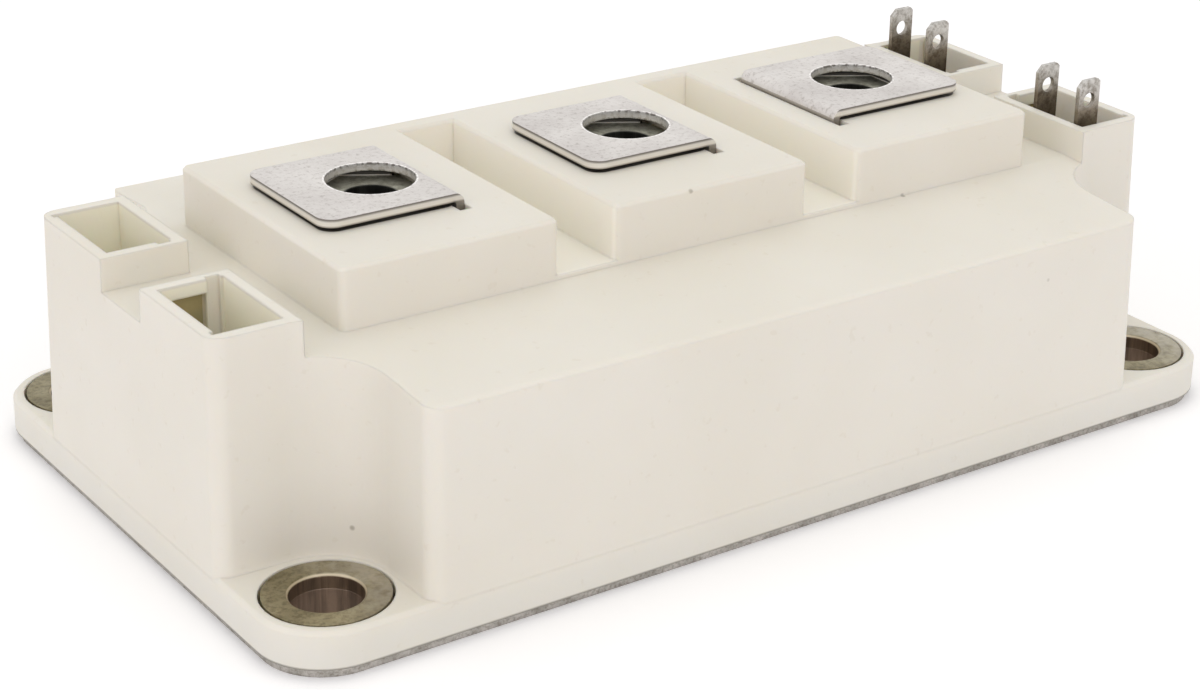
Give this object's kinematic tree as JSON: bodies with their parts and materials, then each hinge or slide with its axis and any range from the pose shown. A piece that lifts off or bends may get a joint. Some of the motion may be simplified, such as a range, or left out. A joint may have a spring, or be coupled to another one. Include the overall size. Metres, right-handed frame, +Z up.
{
  "type": "power semiconductor module",
  "caption": "Flat half-bridge power module: moulded casing on a metal base plate, screw terminals on raised blocks, push-on signal tabs at one end and open sockets at the other.",
  "frame": {"origin": "middle of the underside of the base plate", "axes": "+X along the length towards the end with the signal tabs, +Y across, +Z up from the base plate to the screw terminals"},
  "size_m": [0.1064, 0.0614, 0.0305],
  "materials": {
    "ivory_plastic": "satin moulded thermoplastic",
    "nickel_base": "nickel plated, finely ground",
    "ring_zinc": "yellow passivated zinc",
    "plated_strip": "tin plated copper strip",
    "nut_steel": "zinc plated steel",
    "tab_tin": "tin plated brass strip",
    "seal_silicone": "cured adhesive bead",
    "gel": "soft clear silicone gel",
    "copper": "bare bonded copper",
    "ceramic": "white substrate ceramic",
    "silicon": "metallised chip",
    "wire_aluminium": "bond wire"
  },
  "bodies": {
    "root": {"base_plate": "nickel_base", "bond_wires_left": "wire_aluminium", "bond_wires_right": "wire_aluminium", "bottom_copper_left": "copper", "bottom_copper_right": "copper", "casing": "ivory_plastic", "casing_seal": "seal_silicone", "ceramic_left": "ceramic", "ceramic_right": "ceramic", "chip_track_left": "copper", "chip_track_right": "copper", "control_link": "copper", "control_track_left": "copper", "control_track_right": "copper", "diode_chip_left": "silicon", "diode_chip_right": "silicon", "gel_fill": "gel", "mounting_ring_back_left": "ring_zinc", "mounting_ring_back_right": "ring_zinc", "mounting_ring_front_left": "ring_zinc", "mounting_ring_front_right": "ring_zinc", "power_terminal_1": "plated_strip", "power_terminal_2": "plated_strip", "power_terminal_3": "plated_strip", "return_link": "copper", "return_track_left": "copper", "return_track_right": "copper", "signal_tab_1": "tab_tin", "signal_tab_2": "tab_tin", "signal_tab_3": "tab_tin", "signal_tab_4": "tab_tin", "switch_chip_left_back": "silicon", "switch_chip_left_front": "silicon", "switch_chip_right_back": "silicon", "switch_chip_right_front": "silicon", "tab_pad_1": "copper", "tab_pad_2": "copper", "tab_pad_3": "copper", "tab_pad_4": "copper", "terminal_nut_1": "nut_steel", "terminal_nut_2": "nut_steel", "terminal_nut_3": "nut_steel"}
  },
  "joints": []
}
